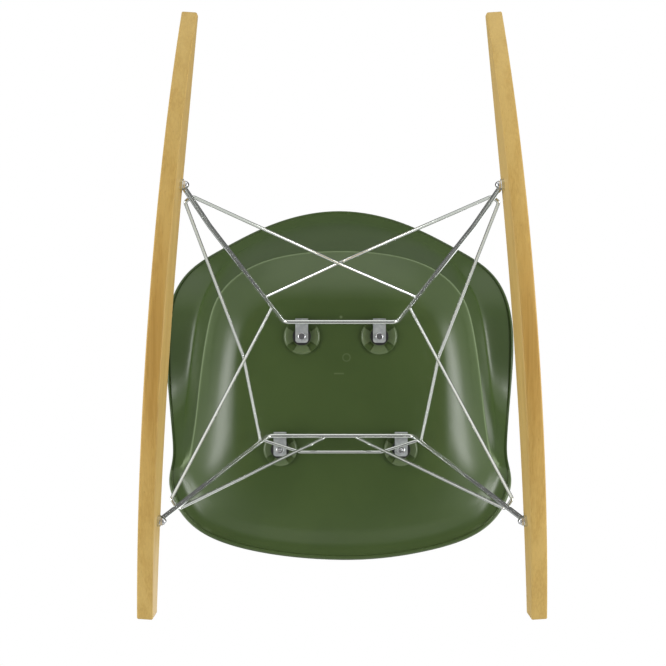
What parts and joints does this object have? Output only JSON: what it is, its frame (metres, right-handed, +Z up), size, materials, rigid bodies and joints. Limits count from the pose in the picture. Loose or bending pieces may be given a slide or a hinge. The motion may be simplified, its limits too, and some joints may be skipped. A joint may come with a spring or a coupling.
{
  "type": "rocking chair",
  "caption": "Moulded plastic bucket armchair on a chromed wire base with two curved wooden rockers.",
  "frame": {"origin": "on the floor, in the middle of the rockers' length and width", "axes": "+Z up, -Y the way the sitter faces, +X to the sitter's left"},
  "size_m": [0.6282, 0.8114, 0.757],
  "materials": {
    "green_plastic": "moulded polypropylene with a satin sheen",
    "chrome_wire": "bright chrome",
    "zinc_steel": "zinc plated",
    "bright_steel": "bright plated",
    "black_rubber": "matte",
    "maple": "clear satin lacquer"
  },
  "bodies": {
    "base": {"rear_frame": "chrome_wire", "front_frame": "chrome_wire", "left_rear_brace": "chrome_wire", "right_rear_brace": "chrome_wire", "left_front_brace": "chrome_wire", "right_front_brace": "chrome_wire", "front_truss": "chrome_wire", "left_rocker": "maple", "right_rocker": "maple", "rocker_bolts": "bright_steel", "bolt_washers": "bright_steel", "cap_nuts": "bright_steel", "threaded_inserts": "zinc_steel", "mount_screws": "bright_steel", "front_left_tab": "zinc_steel", "front_left_bushing": "black_rubber", "front_right_tab": "zinc_steel", "front_right_bushing": "black_rubber", "rear_left_tab": "zinc_steel", "rear_left_bushing": "black_rubber", "rear_right_tab": "zinc_steel", "rear_right_bushing": "black_rubber"},
    "seat": {"seat_shell": "green_plastic", "front_left_puck": "green_plastic", "front_right_puck": "green_plastic", "rear_left_puck": "green_plastic", "rear_right_puck": "green_plastic"}
  },
  "joints": [
    {"name": "seat_flex", "type": "hinge", "parent": "base", "child": "seat", "pos_m": [0, -0.1233, 0.3515], "axis": [1, 0, 0], "range_deg": [-1.2, 1.2], "stiffness_Nm_per_rad": 6000, "deforming": ["front_left_bushing", "front_right_bushing", "rear_left_bushing", "rear_right_bushing"]}
  ]
}
